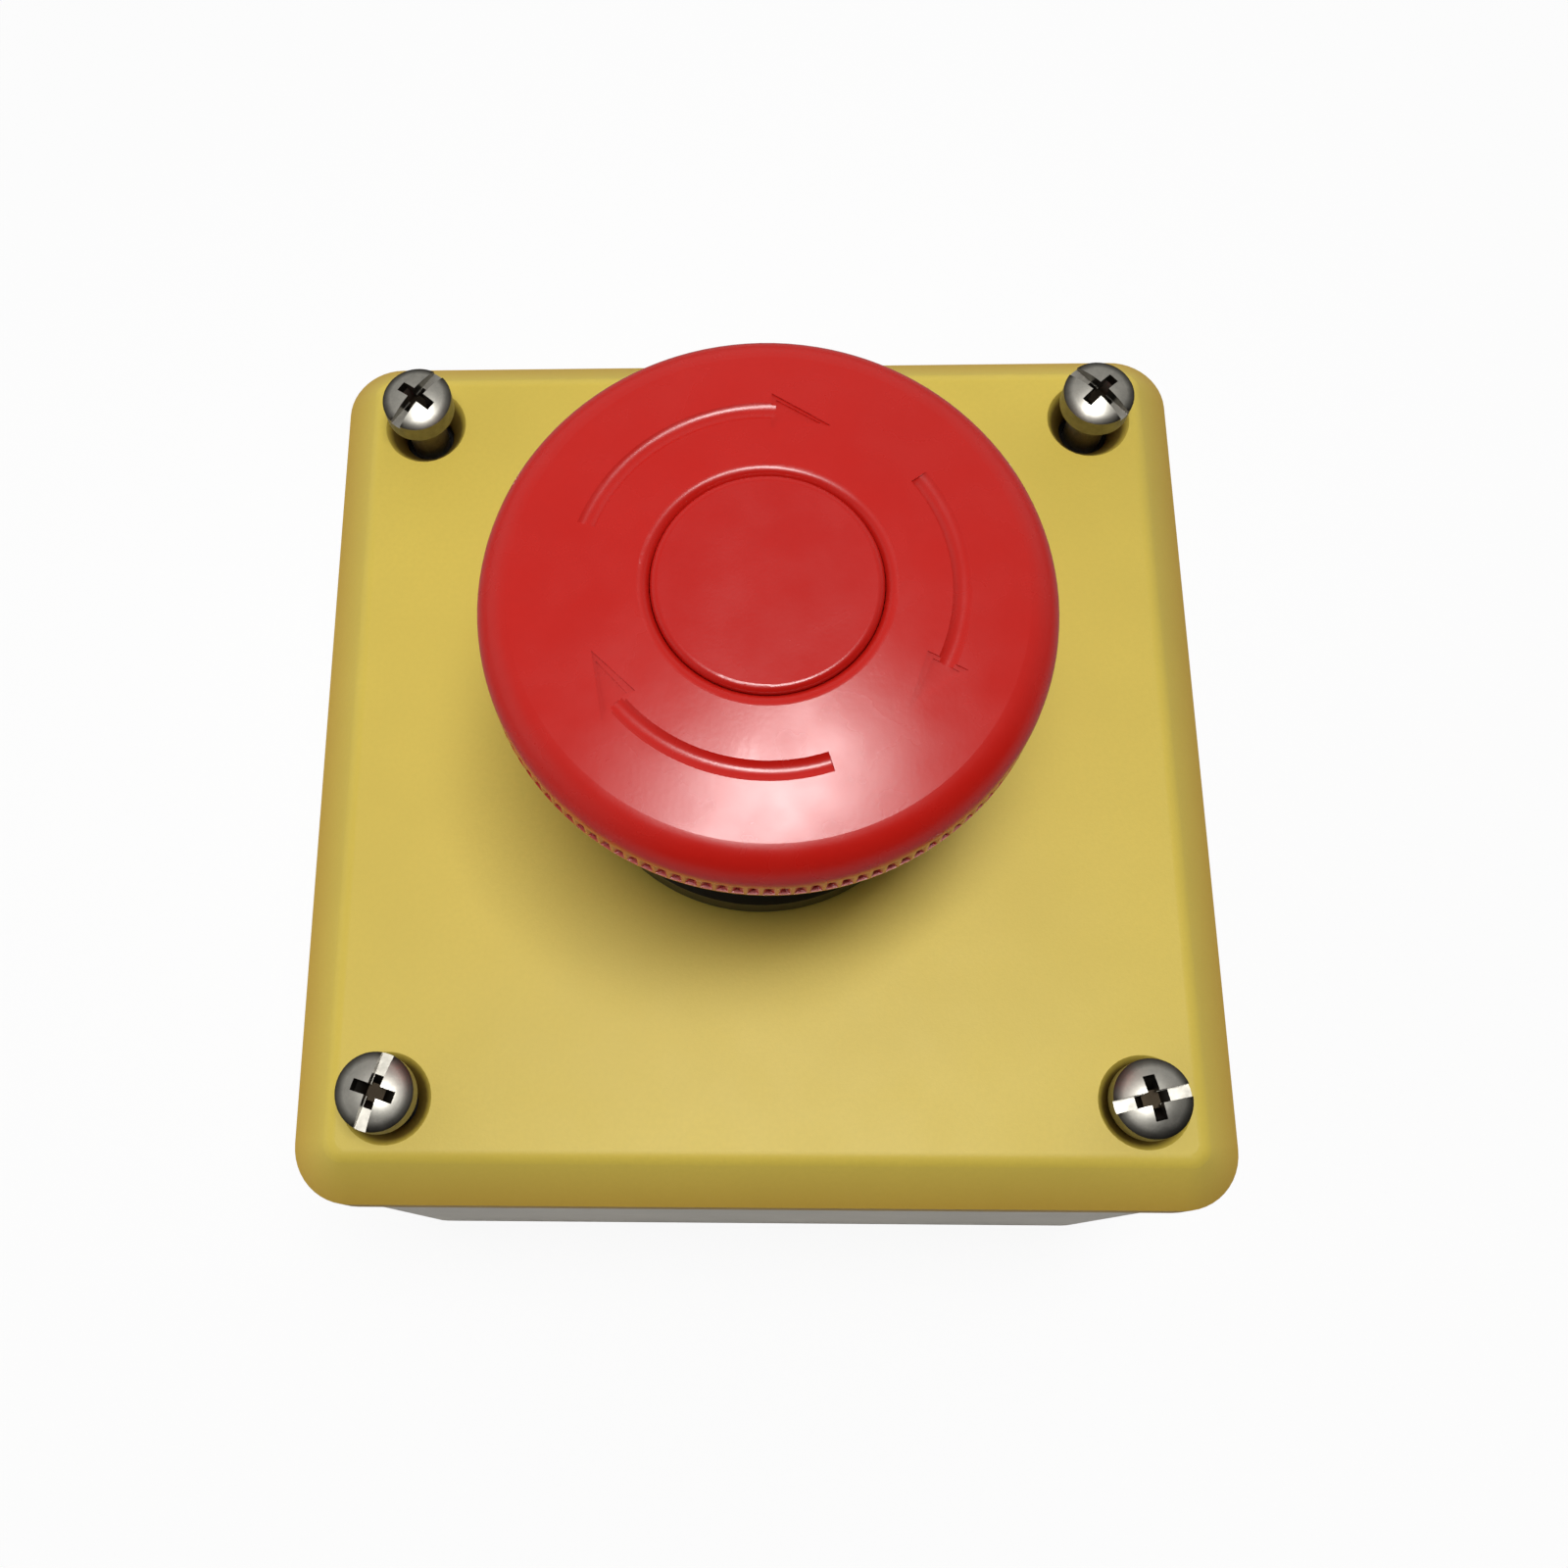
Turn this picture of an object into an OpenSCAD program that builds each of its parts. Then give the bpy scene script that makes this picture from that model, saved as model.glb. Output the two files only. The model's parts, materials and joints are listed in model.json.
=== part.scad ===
// Emergency stop push button on a one-hole wall box: the box lies on its back, the button faces up.
// Origin: centre of the back face. +Z out of the wall towards the button, +Y up the wall.

/* [Enclosure] */
// Outer width and depth of the square lid
box_w = 77; // [76:1:88]
// Height of the base, from its back face to the parting line
base_h = 49; // [47:1:54]
// Height of the lid, from the parting line to its top face
lid_h = 8; // [7.75:0.25:9]
// Outer corner radius of lid and base, seen from above
corner_r = 4.8; // [4.6:0.1:6]
// Width of the slanted face round the lid's top
slope_w = 3.5; // [3:0.1:3.6]
// Height of that slanted face
slope_h = 4; // [3.5:0.1:4.5]
// Rounding between the slanted face and the top face
edge_r = 1.5; // [0.8:0.1:2]
// Thickness of the lid's side walls
wall_t = 3.8; // [3.6:0.1:4]
// Thickness of the lid's top
lid_top_t = 3; // [2.5:0.25:4]
// How far the base stands back from the lid's sides
base_inset = 0.5; // [0.2:0.1:0.8]
// Thickness of the base's back wall
floor_t = 3; // [2:0.5:4]
// Height of the base's tongue inside the lid
tongue_h = 2; // [1.5:0.1:2.2]
// Thickness of the base's tongue
tongue_t = 1.3; // [1:0.1:1.5]
// Thickness of the seal between base and lid
lid_seal_t = 1; // [0.8:0.1:1.2]

/* [Wall fixing and cable entries] */
// Spacing of the wall fixing holes across the box
fix_x = 54; // [50:1:56]
// Spacing of the wall fixing holes up the box
fix_y = 34; // [30:1:38]
// Diameter of the wall fixing holes
fix_d = 4.3; // [4:0.1:5]
// Diameter of the pads round the wall fixing holes
fix_pad_d = 9; // [8:0.5:10]
// Height of those pads
fix_pad_h = 1.5; // [1:0.25:2]
// Diameter of the open cable entry and of the two closed knock-outs
entry_d = 20.5; // [16.5:0.5:22]
// Width of the weakening groove round a knock-out
knockout_groove_w = 0.9; // [0.6:0.1:1.5]
// Thickness of wall left under that groove
knockout_skin_t = 0.8; // [0.5:0.1:1.2]

/* [Cover screws] */
// Distance from the lid's side to a cover screw's axis
screw_inset = 8.1; // [7.8:0.1:8.4]
// Diameter of the screws' shanks
screw_d = 3.5; // [3:0.1:3.9]
// Length of the screws under their heads
screw_len = 36; // [34:1:38]
// Diameter of the screw heads
screw_head_d = 6.2; // [5.8:0.1:6.8]
// Height of the screw heads with their domes
screw_head_h = 2.9; // [2.4:0.1:3.2]
// Height of the dome on a screw head
screw_dome_h = 0.9; // [0.6:0.1:1.2]
// Diameter of the funnel over each screw hole, at the lid's top face
funnel_d = 7.4; // [7:0.1:8]
// Depth of that funnel
funnel_h = 2.4; // [2:0.1:3]
// Diameter of the screw holes through the lid
screw_hole_d = 4.5; // [4.2:0.1:5]
// Diameter of the bosses in base and lid that hold the screws
boss_d = 9.8; // [9.6:0.1:10.4]
// Height of the loosened far left screw's top over the lid
raise_far_left = 6; // [4:0.1:7]
// Height of the loosened far right screw's top over the lid
raise_far_right = 5.8; // [4:0.1:7]
// Height of the loosened near left screw's top over the lid
raise_near_left = 5.9; // [4:0.1:7]
// Height of the loosened near right screw's top over the lid
raise_near_right = 3.8; // [2.5:0.1:7]
// Turn of the far left screw's slot, counter-clockwise from +X
turn_far_left = 54; // [0:1:179]
// Turn of the far right screw's slot
turn_far_right = 133; // [0:1:179]
// Turn of the near left screw's slot
turn_near_left = 72; // [0:1:179]
// Turn of the near right screw's slot
turn_near_right = 13; // [0:1:179]

/* [Button head] */
// Diameter of the mushroom head over its knurl
head_d = 40; // [38:0.5:42]
// Height of the head's top over the lid
head_h = 35.3; // [34:0.1:37]
// Radius of the head's domed crown
crown_r = 100; // [80:1:120]
// Height of the smooth flange under the knurl
rim_flange_h = 0.6; // [0.4:0.1:1]
// How far the crown's apex would stand over the centre plug's top
crown_rise = 0.25; // [0:0.05:0.4]
// Rounding between crown and knurled rim
rim_round_r = 2.8; // [2:0.1:3.2]
// Height of the knurled rim under that rounding
rim_h = 2.5; // [2:0.1:3]
// Number of teeth in the knurl
teeth = 120; // [90:1:130]
// Depth of the knurl
tooth_h = 0.35; // [0.25:0.05:0.5]
// Share of a tooth's depth that its flat land takes off
tooth_land = 0.5; // [0.2:0.05:0.8]
// Radius of the sweep under the rim
flare_r = 8; // [6:0.5:8.5]
// Outer diameter of the head's neck
neck_skirt_d = 24.8; // [24:0.1:26]
// Diameter of the plug in the middle of the head
plug_d = 15.8; // [14:0.1:16.4]
// Thickness of that plug
plug_t = 2; // [1.6:0.1:2.2]
// Rounding of the plug's upper edge
plug_round_r = 0.55; // [0.2:0.05:0.8]
// Rounding of the crown's lip round the plug
lip_round_r = 0.85; // [0.5:0.05:1]

/* [Arrows] */
// Directions of the three arrows' tails, counter-clockwise from +X
arrow_tail = [160, 37, -72];
// Angles that the three arrows' bars cover
arrow_span = [72, 62, 67];
// Radius of the arrows' centre line
arrow_r = 13.05; // [12:0.05:14]
// Width of an arrow's bar
arrow_w = 1.35; // [1:0.05:1.8]
// Width of an arrow's head
arrow_head_w = 2.9; // [2.4:0.1:3.4]
// Angle that an arrow's head covers
arrow_head_span = 19; // [14:1:22]
// Depth of an arrow's round-bottomed bar in the crown
arrow_depth = 0.25; // [0.15:0.01:0.4]
// Depth of an arrow's head at its edge and, further in, at its middle
arrow_head_steps = [0.12, 0.21];

/* [Operator] */
// Diameter of the hole in the lid for the operator
panel_hole_d = 22.5; // [22.3:0.1:23]
// Travel of the button when it is pressed
press_travel = 4.5; // [4:0.1:5]
// Angle that the head turns to release the button
twist_angle = 45; // [30:5:50]
// Diameter of the bezel ring
bezel_d = 30.4; // [30:0.1:33]
// Height of the bezel ring over the lid
bezel_h = 4.3; // [4:0.1:4.6]
// Thickness of the seal under the operator's flange
panel_seal_t = 0.8; // [0.5:0.1:1.2]
// Thickness of the operator's flange
flange_t = 2; // [1.6:0.1:2.2]
// Length of the operator's collar under the lid's top face
collar_len = 20; // [19.5:0.25:21]
// Pitch of the collar's thread ridges
thread_pitch = 1.5; // [1:0.1:2]
// Width across the flats of the lock nut
nut_af = 27; // [26.5:0.1:29]
// Height of the lock nut
nut_h = 5; // [4:0.25:5.5]
// Diameter of the spindle
spindle_d = 10.2; // [9.8:0.1:10.4]
// How far a latch ball moves inwards when the button is pressed
latch_in = 1; // [0.8:0.05:1.1]
// Diameter of the latch balls
latch_ball_d = 3; // [2.8:0.1:3.2]
// Wire thickness of the return spring
return_wire = 1; // [0.8:0.05:1.2]
// Wire thickness of the twist spring
twist_wire = 0.8; // [0.6:0.05:0.9]

/* [Contact blocks] */
// Width of one contact block
block_w = 10; // [10:0.1:11]
// Length of one contact block
block_l = 30; // [30:0.5:34]
// Height of one contact block
block_h = 24.4; // [24.4:0.1:27]
// Wall thickness of the contact blocks
block_wall = 1.2; // [1:0.1:1.4]
// Width of a plunger, both ways
plunger_w = 4.6; // [4.4:0.1:5]
// Thickness of the contact strips
strip_t = 0.8; // [0.6:0.05:1]
// Width of the fixed contact strips
strip_w = 5; // [4:0.1:5.4]
// Diameter of the contact tips
tip_d = 2.2; // [1.8:0.1:2.6]
// Height of the contact tips
tip_h = 0.4; // [0.3:0.05:0.5]

/* [Hidden] */
$fn = 72;
// Finer circles for the head
fine = 144;
crown_fine = 360;
// Smallest overlap of a cut past a face
cut = 0.5;

// Clearances: a shaft in its bore, sliding plastic, and pieces fitted together
slip = 0.05;
slide_gap = 0.1;
fit_gap = 0.2;
loose_gap = 0.3;

// Enclosure
split_z = base_h;
panel_z = base_h + lid_h;
lid_under_z = panel_z - lid_top_t;
tongue_z = split_z + tongue_h;
seal_z = tongue_z + lid_seal_t;
base_w = box_w - 2 * base_inset;
cavity_w = box_w - 2 * wall_t;
cavity_r = corner_r - wall_t;
tongue_w = cavity_w + 2 * tongue_t;
tongue_r = cavity_r + tongue_t;
rebate_w = tongue_w + 2 * fit_gap;
rib_t = 1.4;
rib_depth = 1.5;
rib_at = 12;
cable_entry_z = base_h / 2;

// Cover screws and their washers
screw_at = box_w / 2 - screw_inset;
pilot_z = 11;
washer_d = 6.8;
washer_t = 1;
washer_pocket_h = 1.5;
screw_point_h = 1;
screw_point_w = 0.6;
slot_w = 1;
slot_depth = 1.25;
cross_w = 0.95;
cross_r = 1.95;
cross_foot_r = 1.55;
cross_depth = 1.1;
cross_tip_r = 0.7;
cross_tip_depth = 1.75;

// Operator's body, bezel and nut
flange_z = panel_z + panel_seal_t;
flange_top = flange_z + flange_t;
bezel_top = panel_z + bezel_h;
bezel_wall = 0.9;
bezel_foot = 0.3;
bezel_chamfer = 1.2;
flange_r = bezel_d / 2 - bezel_wall - slide_gap;
collar_r = panel_hole_d / 2 - 0.25;
collar_z = panel_z - collar_len;
thread_h = 0.45;
thread_backing = 1;
key_w = 3;
key_out = 1.2;
neck_r = collar_r - 0.7;
neck_wall = 2.7;
bore_r = spindle_d / 2 + slide_gap;
spring_room_r = neck_r - neck_wall;
guide_top = flange_top + 1.2;
nut_z = lid_under_z - nut_h;
nut_chamfer = 1.2;
nut_room = 1.4;
lid_ring_t = 1.5;
lid_ring_h = 1.5;
lid_ring_d = nut_af / cos(30) + 2 * (nut_room + lid_ring_t);

// Skirt of the head over the operator's neck
skirt_z = bezel_top + press_travel + 0.8;
skirt_over_neck = 2.4;
neck_top = skirt_z + skirt_over_neck;
skirt_inner_r = neck_r + 0.5;
neck_seal_h = 1.4;
neck_groove = 0.5;

// Spindle
block_side_gap = 0.15;
block_at = block_w / 2 + block_side_gap;
pusher_room_r = norm([block_at + plunger_w / 2, plunger_w / 2]) + fit_gap;
pusher_room_h = 2.9;
pusher_r = pusher_room_r - 0.5;
pusher_t = 2;
pusher_z = collar_z + 0.4;
spring_plate_z = neck_top + press_travel + 0.5;
spring_plate_t = 3;
plate_top = spring_plate_z + spring_plate_t;
spring_plate_r = neck_r - 0.5;
stub_r = 3;
hub_gap = 0.1;
lug_r = 8.2;
lug_t = 1.4;
lug_angle = 20;
lug_depth = 1.8;
slot_side = 1.5;

// Inside of the head
head_top = panel_z + head_h;
recess_z = head_top - plug_t;
recess_r = plug_d / 2 + slip;
pocket_h = 2.2;
pocket_r = 4.6;
web_t = 1;
web_z = recess_z - pocket_h - web_t;
hub_web_t = 1.7;
roof_z = web_z - hub_web_t;
hub_r = 5;
spigot_r = 3.4;
spigot_h = 1.4;
head_screw_r = 2.6;
head_screw_h = 1.7;
head_screw_len = 7.5;

// Crown and rim of the head
crown_z = head_top + crown_rise - crown_r;
rim_r = head_d / 2;
rim_centre_r = rim_r - rim_round_r;
rim_top = crown_z + sqrt(pow(crown_r - rim_round_r, 2) - pow(rim_centre_r, 2));
rim_z = rim_top - rim_h;
rim_chamfer = 0.3;
crown_edge_r = rim_centre_r * crown_r / (crown_r - rim_round_r);
crown_edge_z = crown_z + (rim_top - crown_z) * crown_r / (crown_r - rim_round_r);
crown_room = 10;
lip_in = 0.1;
lip_r = recess_r + lip_round_r - lip_in;
lip_z = crown_z + sqrt(pow(crown_r - lip_round_r, 2) - pow(lip_r, 2));
lip_edge_r = lip_r * crown_r / (crown_r - lip_round_r);
lip_edge_z = crown_z + (lip_z - crown_z) * crown_r / (crown_r - lip_round_r);
knurl_under_round = 0.1;
knurl_slant = 0.1;
tooth_root_r = rim_r - tooth_h;
tooth_tip_r = rim_r + tooth_land / 2 * tooth_h;
flare_out_r = tooth_root_r - 0.5;
flare_under_rim = 0.5;
arrow_groove_r = (pow(arrow_w / 2, 2) + pow(arrow_depth, 2)) / (2 * arrow_depth);
arrow_groove_at = crown_r + arrow_groove_r - arrow_depth;
arrow_into_head = 1.5;
arrow_tip_in = 0.4;
arrow_step_in = 0.3;
arrow_side_in = 1.6;
arrow_point_in = 2.5;

// Latch: each ball rests on the spindle's cone and moves inwards as the cone passes it
latch_z = collar_z + 6;
latch_slope = latch_in / press_travel;
latch_tilt = atan(latch_slope);
latch_ball_r = latch_ball_d / 2;
latch_bore_r = latch_ball_r + slide_gap;
latch_gap = 0.06;
cone_start = latch_z - 0.6;
cone_end = latch_z + press_travel + 0.7;
cone_lip = cone_end + 1;
latch_at = spindle_d / 2 - latch_slope * (latch_z - cone_start)
  + latch_ball_r / cos(latch_tilt) + latch_gap;
latch_wire = 0.4;
thread_z = latch_z + latch_bore_r + 2.7;

// Holder of the contact blocks
holder_ring_r = 14.6;
holder_ring_h = 9;
holder_x = 34;
holder_z = pusher_z - press_travel - loose_gap;
holder_screw_z = collar_z + 4;
holder_screw_head_h = 1.6;
holder_screw_r = 1.25;
small_head_r = 2.3;
driver_w = 0.8;
driver_depth = 0.8;
arm_t = 1.3;
arm_w = 6;
arm_h = 5.4;
hook_h = 1;
hook_out = 0.6;
hook_notch_z = holder_z - arm_h - loose_gap;

// Contact blocks, measured from the top or the bottom of a block
block_top = holder_z;
block_bottom = block_top - block_h;
room_x = block_w / 2 - block_wall;
room_y = block_l / 2 - block_wall - fit_gap;
bridge_z = block_top - 8.6;
bridge_l = 17;
bridge_w = 2.8;
plunger_top = pusher_z - slide_gap;
plunger_z = bridge_z - 5.8;
spring_slot = 4.5;
contact_wire = 0.4;
plunger_wire = 0.45;
contact_y = 7.2;
contact_gap = 0.05;
strip_in_y = 5.8;
strip_out_y = room_y - fit_gap;
terminal_z = block_bottom + 5.8;
terminal_in_y = 8.3;
terminal_y = 10.8;
terminal_screw_r = 1.45;
terminal_screw_top = terminal_z + strip_t + 2.6;
terminal_head_r = 2.5;
terminal_head_h = 1.8;
terminal_head_z = block_bottom + 0.4;
clamp_t = 1;
clamp_w = 5;
entry_w = 4.6;
entry_z = block_bottom + 3.2;
entry_h = 4;

// A closed contact lies over its bridge, an open one lies a full travel under it
nc_strip_z = bridge_z + strip_t + 2 * tip_h + contact_gap;
no_strip_z = bridge_z - 2 * tip_h - contact_gap - press_travel - strip_t;
nc_slot = [bridge_z - spring_slot, bridge_z + strip_t + slide_gap];
no_slot = [bridge_z - slip, bridge_z + strip_t + spring_slot];

// Colours
yellow = [0.83, 0.75, 0.38];
pale_grey = [0.66, 0.65, 0.62];
red = [0.78, 0.15, 0.14];
black = [0.09, 0.09, 0.09];
steel = [0.72, 0.71, 0.68];
brass = [0.78, 0.62, 0.32];
rubber = [0.16, 0.16, 0.16];
green = [0.16, 0.52, 0.30];
maroon = [0.62, 0.14, 0.12];
white = [0.88, 0.88, 0.85];

// Outlines and blocks with rounded corners, seen from above
module rounded_square(w, r) {
  square([w - 2 * r, w], center = true);
  square([w, w - 2 * r], center = true);
  for (x = [-1, 1], y = [-1, 1])
    translate([x * (w / 2 - r), y * (w / 2 - r)]) circle(r);
}

module rounded_block(w, r, h) {
  linear_extrude(h) rounded_square(w, r);
}

module rounded_ring(w, r, t, h) {
  linear_extrude(h) difference() {
    rounded_square(w, r);
    rounded_square(w - 2 * t, r - t);
  }
}

module ring(r_out, r_in, h) {
  linear_extrude(h) difference() {
    circle(r_out);
    circle(r_in);
  }
}

// Repeats at the four corners of a rectangle, on both sides of the middle, and half a turn apart
module at_corners(x, y) {
  for (i = [-1, 1], j = [-1, 1]) translate([i * x, j * y, 0]) children();
}

module both_ways() {
  for (turn = [0, 180]) rotate([0, 0, turn]) children();
}

// Point on a circle round the origin
function turned(r, a) = r * [cos(a), sin(a)];

// Slotted round-headed screw of small size, its head's underside at the origin
module small_screw(len, head_r, head_h) {
  difference() {
    union() {
      translate([0, 0, -len]) cylinder(r = holder_screw_r, h = len + head_h / 2);
      cylinder(r = head_r, h = head_h);
    }
    translate([-head_r - cut, -driver_w / 2, head_h - driver_depth])
      cube([2 * (head_r + cut), driver_w, driver_depth + cut]);
  }
}

// Coil spring between two levels, with a closed turn at each end
function coil_level(t, turns, z0, z1, wire) =
  let (closed = 1.1 * wire, open_z0 = z0 + wire / 2 + closed, open_z1 = z1 - wire / 2 - closed)
  t < 1 ? z0 + wire / 2 + closed * t
  : t > turns - 1 ? z1 - wire / 2 - closed * (turns - t)
  : open_z0 + (t - 1) / (turns - 2) * (open_z1 - open_z0);

module coil(r, wire, z0, z1, turns, sides = 8, steps = 14) {
  rings = turns * steps;
  points = [for (i = [0 : rings], j = [0 : sides - 1])
    let (across = 360 * j / sides, flat = turned(r + wire / 2 * cos(across), 360 * i / steps))
    [flat[0], flat[1], coil_level(i / steps, turns, z0, z1, wire) + wire / 2 * sin(across)]];
  skin = [for (i = [0 : rings - 1], j = [0 : sides - 1])
    let (k = (j + 1) % sides)
    [i * sides + j, i * sides + k, (i + 1) * sides + k, (i + 1) * sides + j]];
  first = [[for (j = [sides - 1 : -1 : 0]) j]];
  last = [[for (j = [0 : sides - 1]) rings * sides + j]];
  polyhedron(points, concat(skin, first, last), convexity = 6);
}

module small_coil(r, wire, z0, z1, turns) coil(r, wire, z0, z1, turns, sides = 6, steps = 12);

// Base with its tongue, screw bosses, wall fixing pads and ribs. Its far side has the open cable
// entry, and its left and right sides have the grooves of two knock-outs.
module base_box() {
  groove_depth = wall_t - base_inset - knockout_skin_t;
  color(pale_grey) difference() {
    union() {
      difference() {
        union() {
          rounded_block(base_w, corner_r - base_inset, base_h);
          translate([0, 0, split_z - cut]) rounded_block(tongue_w, tongue_r, tongue_h + cut);
        }
        translate([0, 0, floor_t]) rounded_block(cavity_w, cavity_r, panel_z);
      }
      at_corners(screw_at, screw_at) cylinder(d = boss_d, h = tongue_z);
      at_corners(fix_x / 2, fix_y / 2) cylinder(d = fix_pad_d, h = floor_t + fix_pad_h);
      at_corners(cavity_w / 2 - (rib_depth - cut) / 2, rib_at)
        translate([0, 0, split_z / 2]) cube([rib_depth + cut, rib_t, split_z - floor_t], center = true);
    }
    at_corners(screw_at, screw_at)
      translate([0, 0, pilot_z]) cylinder(r = screw_d / 2 + slip, h = panel_z);
    at_corners(fix_x / 2, fix_y / 2) translate([0, 0, -cut]) cylinder(d = fix_d, h = panel_z);
    translate([0, cavity_w / 2 - cut, cable_entry_z]) rotate([-90, 0, 0])
      cylinder(d = entry_d, h = wall_t + 2 * cut);
    both_ways() translate([-base_w / 2 - cut, 0, cable_entry_z]) rotate([0, 90, 0])
      ring(entry_d / 2, entry_d / 2 - knockout_groove_w, groove_depth + cut);
  }
}

// Section across the lid, with its slanted faces and the rounding over each of them
module lid_section(w) {
  slant = atan(slope_h / slope_w);
  round_x = w / 2 - slope_w - edge_r * tan(slant / 2);
  touch = [round_x + edge_r * sin(slant), lid_h - edge_r * (1 - cos(slant))];
  for (side = [0, 1]) mirror([side, 0]) {
    polygon([[0, 0], [w / 2, 0], [w / 2, lid_h - slope_h], touch, [round_x, lid_h - edge_r],
             [round_x, lid_h], [0, lid_h]]);
    translate([round_x, lid_h - edge_r]) circle(edge_r);
  }
}

// Solid outer form of the lid: two crossing blocks and four revolved corners
module lid_form() {
  corner_at = box_w / 2 - corner_r;
  for (turn = [0, 90])
    rotate([90, 0, turn]) linear_extrude(2 * corner_at, center = true) lid_section(box_w);
  for (turn = [0 : 90 : 270])
    rotate([0, 0, turn]) translate([corner_at, corner_at, 0]) rotate_extrude(angle = 90) intersection() {
      lid_section(2 * corner_r);
      square([corner_r, lid_h]);
    }
}

module lid() {
  color(yellow) difference() {
    union() {
      difference() {
        translate([0, 0, split_z]) lid_form();
        translate([0, 0, split_z - cut]) rounded_block(cavity_w, cavity_r, lid_h - lid_top_t + cut);
        translate([0, 0, split_z - cut])
          rounded_block(rebate_w, tongue_r + fit_gap, seal_z - split_z + cut);
      }
      at_corners(screw_at, screw_at)
        translate([0, 0, seal_z]) cylinder(d = boss_d, h = lid_under_z - seal_z + cut);
      translate([0, 0, lid_under_z - lid_ring_h])
        ring(lid_ring_d / 2, lid_ring_d / 2 - lid_ring_t, lid_ring_h + cut);
    }
    at_corners(screw_at, screw_at) {
      translate([0, 0, split_z]) cylinder(d = screw_hole_d, h = lid_h + cut);
      translate([0, 0, panel_z - funnel_h]) cylinder(d1 = screw_hole_d, d2 = funnel_d, h = funnel_h);
      translate([0, 0, seal_z - cut]) cylinder(r = washer_d / 2 + slip, h = washer_pocket_h + cut);
    }
    translate([0, 0, split_z]) cylinder(d = panel_hole_d, h = lid_h + cut);
    translate([-key_w / 2 - slide_gap, 0, lid_under_z - cut])
      cube([key_w + 2 * slide_gap, collar_r + key_out + fit_gap, lid_top_t + 2 * cut]);
  }
}

module lid_seal() {
  color(rubber) translate([0, 0, tongue_z]) rounded_ring(tongue_w, tongue_r, tongue_t, lid_seal_t);
}

module screw_washers() {
  color(rubber) at_corners(screw_at, screw_at)
    translate([0, 0, seal_z + washer_pocket_h - washer_t]) ring(washer_d / 2, screw_d / 2 + slip, washer_t);
}

// One of the two blades of the cross recess in a cover screw
module cross_blade() {
  rotate([90, 0, 0]) linear_extrude(cross_w, center = true)
    polygon([[-cross_r, cut], [cross_r, cut], [cross_foot_r, -cross_depth], [cross_tip_r, -cross_tip_depth],
             [-cross_tip_r, -cross_tip_depth], [-cross_foot_r, -cross_depth]]);
}

// Cover screw whose head's top stands at a height over the lid, with its slot turned from +X
module cover_screw(x, y, top, slot_turn) {
  dome_r = (pow(screw_head_d / 2, 2) + pow(screw_dome_h, 2)) / (2 * screw_dome_h);
  place = [x * screw_at, y * screw_at, panel_z + top];
  color(steel) translate(place) rotate([0, 0, slot_turn]) difference() {
    union() {
      intersection() {
        translate([0, 0, -screw_head_h]) cylinder(d = screw_head_d, h = screw_head_h);
        translate([0, 0, -dome_r]) sphere(dome_r);
      }
      translate([0, 0, -screw_head_h - screw_len]) {
        cylinder(d1 = screw_d - 2 * screw_point_w, d2 = screw_d, h = screw_point_h);
        translate([0, 0, screw_point_h]) cylinder(d = screw_d, h = screw_len - screw_point_h + cut);
      }
    }
    translate([-screw_head_d, -slot_w / 2, -slot_depth]) cube([2 * screw_head_d, slot_w, slot_depth + cut]);
    cross_blade();
    rotate([0, 0, 90]) cross_blade();
  }
}

module cover_screw_far_left() cover_screw(-1, 1, raise_far_left, turn_far_left);
module cover_screw_far_right() cover_screw(1, 1, raise_far_right, turn_far_right);
module cover_screw_near_left() cover_screw(-1, -1, raise_near_left, turn_near_left);
module cover_screw_near_right() cover_screw(1, -1, raise_near_right, turn_near_right);

// Operator's body: collar with thread ridges, flange on the lid, and neck inside the head's skirt
module panel_seal() {
  color(rubber) translate([0, 0, panel_z]) ring(flange_r - fit_gap, collar_r + fit_gap, panel_seal_t);
}

module thread_ridges(z0, z1) {
  root = collar_r - thread_h;
  back = collar_r - thread_backing;
  for (i = [0 : floor((z1 - z0) / thread_pitch) - 1])
    translate([0, z0 + i * thread_pitch])
      polygon([[back, 0], [root, 0], [collar_r, thread_pitch * 0.35], [collar_r, thread_pitch * 0.5],
               [root, thread_pitch * 0.85], [root, thread_pitch], [back, thread_pitch]]);
}

module operator_section() {
  difference() {
    union() {
      translate([0, collar_z]) square([collar_r, thread_z - collar_z]);
      translate([0, thread_z]) square([collar_r - thread_h, lid_under_z - thread_z]);
      thread_ridges(thread_z, lid_under_z);
      translate([0, lid_under_z]) square([collar_r, flange_top - lid_under_z]);
      translate([0, flange_z]) square([flange_r, flange_t]);
      translate([0, flange_z]) square([neck_r, neck_top - flange_z]);
    }
    translate([0, collar_z - cut]) square([pusher_room_r, pusher_room_h + cut]);
    translate([0, collar_z - cut]) square([bore_r, neck_top]);
    translate([0, guide_top]) square([spring_room_r, neck_top]);
    translate([neck_r - neck_groove, skirt_z]) square([neck_groove + cut, neck_seal_h]);
  }
}

module operator_body() {
  color(black) difference() {
    union() {
      rotate_extrude() operator_section();
      translate([-key_w / 2, collar_r - thread_backing, lid_under_z])
        cube([key_w, key_out + thread_backing, lid_top_t]);
    }
    both_ways() translate([bore_r / 2, 0, latch_z])
      rotate([0, 90, 0]) cylinder(r = latch_bore_r, h = collar_r);
  }
}

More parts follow.
